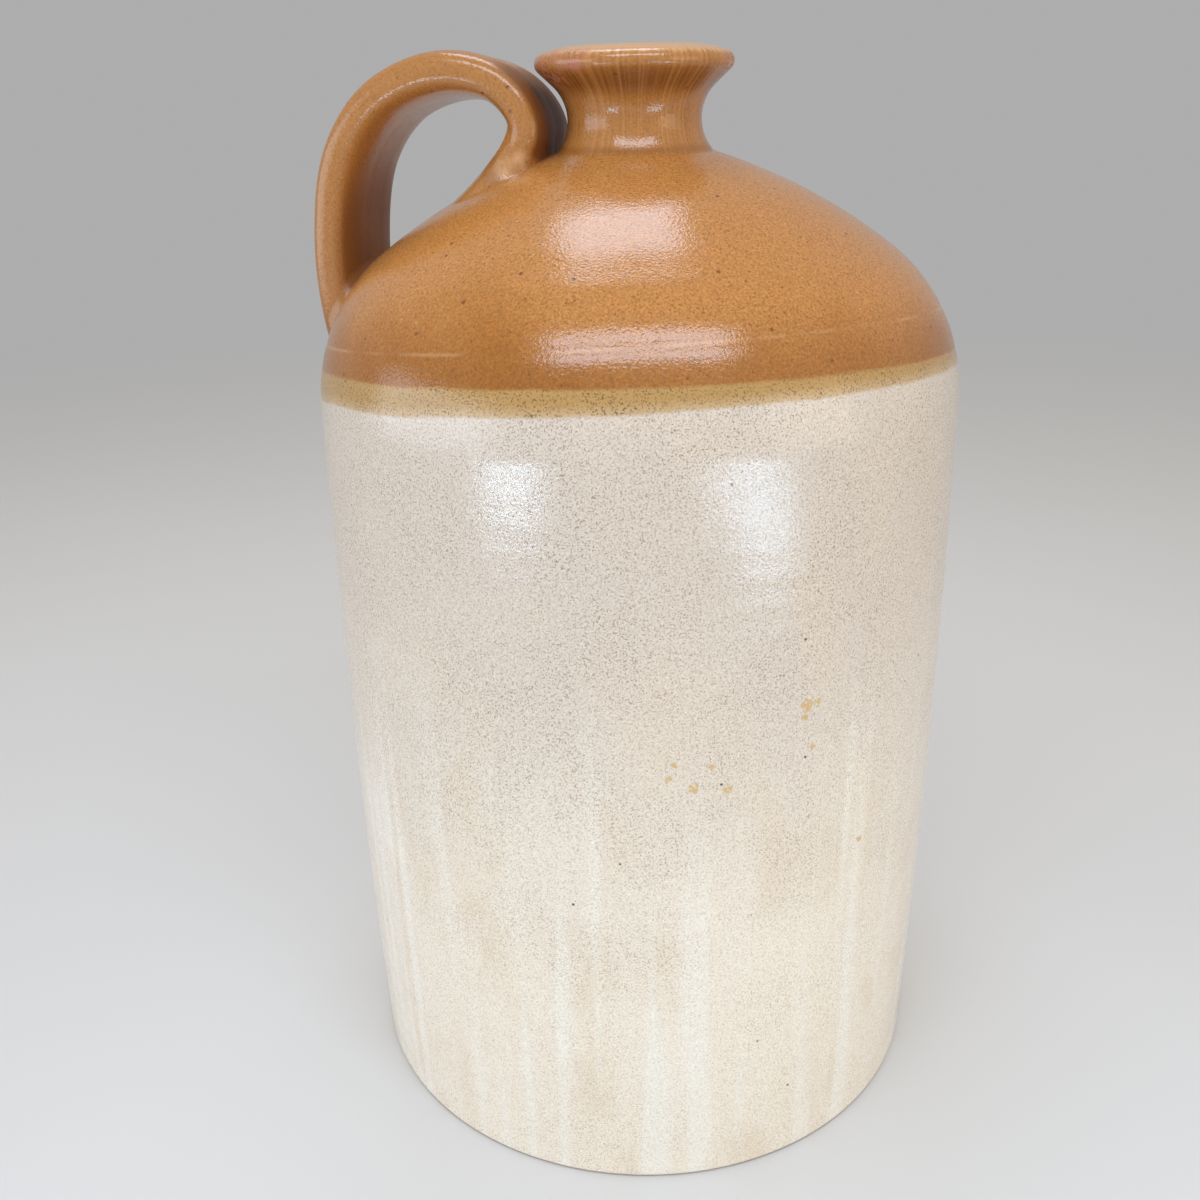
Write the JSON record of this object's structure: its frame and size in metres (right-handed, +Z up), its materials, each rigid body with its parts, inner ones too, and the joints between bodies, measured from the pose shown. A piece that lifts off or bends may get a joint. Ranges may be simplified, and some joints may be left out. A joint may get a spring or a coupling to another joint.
{
  "type": "stoneware demijohn",
  "caption": "Two-tone glazed stoneware demijohn: cylindrical body, domed shoulder, flared-lip neck and strap handle, with a tapered cork bung that pulls out.",
  "frame": {"origin": "middle of the flat base, on the vessel's axis", "axes": "+Z up along the vessel's axis to the mouth; the handle stands on the -X side, in the XZ plane"},
  "size_m": [0.2267, 0.2262, 0.3761],
  "materials": {
    "cream_glaze": "glossy speckled cream stoneware glaze",
    "tan_glaze": "glossy mottled ochre-tan stoneware glaze",
    "cork": "natural cork, matt"
  },
  "bodies": {
    "vessel": {"body": "cream_glaze", "shoulder": "tan_glaze", "neck": "tan_glaze", "handle": "tan_glaze"},
    "bung": {"cork_bung": "cork"}
  },
  "joints": [
    {"name": "bung_pull", "type": "slide", "parent": "vessel", "child": "bung", "axis": [0, 0, 1], "range_m": [0, 0.06]}
  ]
}
